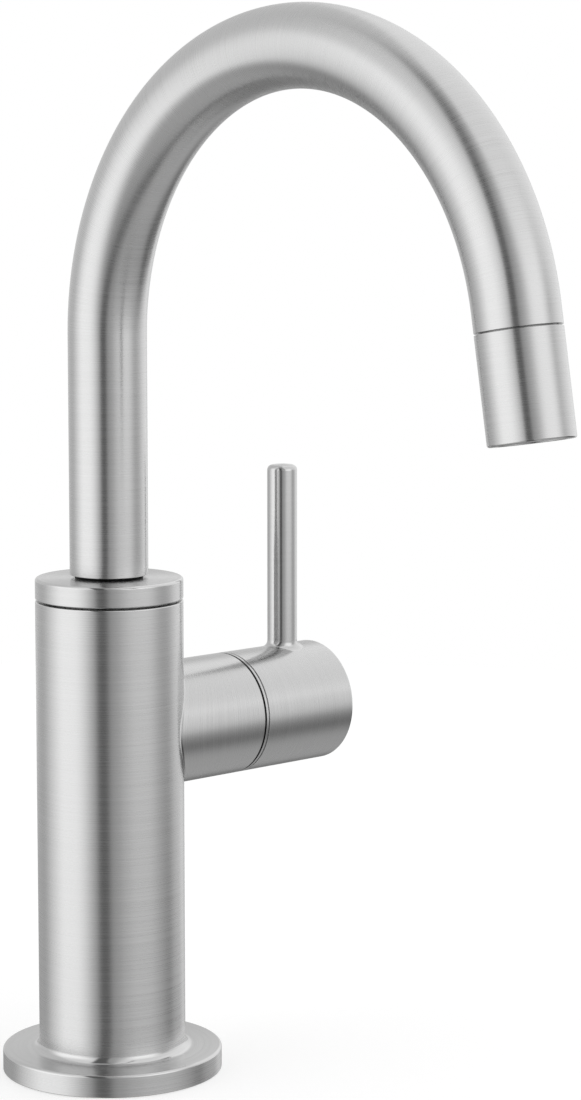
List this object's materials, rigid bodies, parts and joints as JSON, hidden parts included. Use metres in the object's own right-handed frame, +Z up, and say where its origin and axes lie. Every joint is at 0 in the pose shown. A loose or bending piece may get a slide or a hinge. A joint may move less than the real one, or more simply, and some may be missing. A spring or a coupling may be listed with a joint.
{
  "type": "beverage faucet",
  "caption": "Single-hole beverage faucet with a swivelling gooseneck spout, a round column on a deck flange and a quarter-turn side lever.",
  "frame": {"origin": "on the column's axis, at the underside of the deck flange", "axes": "+Z up along the column, -Y along the spout at rest, +X along the handle's axis"},
  "size_m": [0.0952, 0.175, 0.3509],
  "materials": {
    "brushed_stainless": "satin, fine brush lines",
    "brass": "machined",
    "copper": "drawn",
    "black_rubber": "matte",
    "black_acetal": "moulded",
    "white_acetal": "moulded",
    "grey_acetal": "moulded",
    "alumina": "lapped",
    "black_steel": "black oxide",
    "spring_steel": "rolled",
    "zinc_steel": "zinc plated"
  },
  "bodies": {
    "faucet_body": {"column_shell": "brushed_stainless", "base_gasket": "black_rubber", "top_cap": "brushed_stainless", "spout_bush": "black_acetal", "waterway_body": "brass", "shank": "brass", "inlet_tube": "copper", "inlet_tube_oring": "black_rubber", "inlet_fitting": "brass", "seat_seal": "black_rubber", "fixed_disc": "alumina", "cartridge_housing": "white_acetal", "cartridge_oring": "black_rubber", "bonnet_nut": "brass", "glide_ring": "black_acetal"},
    "handle": {"moving_disc": "alumina", "valve_stem": "brass", "stem_seal": "black_rubber", "handle_hub": "brushed_stainless", "handle_lever": "brushed_stainless", "handle_set_screw": "black_steel"},
    "spout": {"spout_tube": "brushed_stainless", "spout_stem": "brass", "spout_orings": "black_rubber", "retaining_clip": "spring_steel", "thrust_washer": "white_acetal", "outlet_nipple": "brushed_stainless", "outlet_sleeve": "brushed_stainless", "aerator_gasket": "black_rubber", "aerator_housing": "white_acetal", "aerator_screen": "grey_acetal"},
    "mounting_nut": {"mounting_nut": "brass", "steel_washer": "zinc_steel", "rubber_washer": "black_rubber"}
  },
  "joints": [
    {"name": "spout_swivel", "type": "hinge", "parent": "faucet_body", "child": "spout", "pos_m": [0, 0, 0.122], "axis": [0, 0, 1], "continuous": true},
    {"name": "handle_turn", "type": "hinge", "parent": "faucet_body", "child": "handle", "pos_m": [0, 0, 0.084], "axis": [1, 0, 0], "range_deg": [0, 90]},
    {"name": "nut_travel", "type": "slide", "parent": "faucet_body", "child": "mounting_nut", "axis": [0, 0, -1], "range_m": [-0.03, 0.06]}
  ]
}
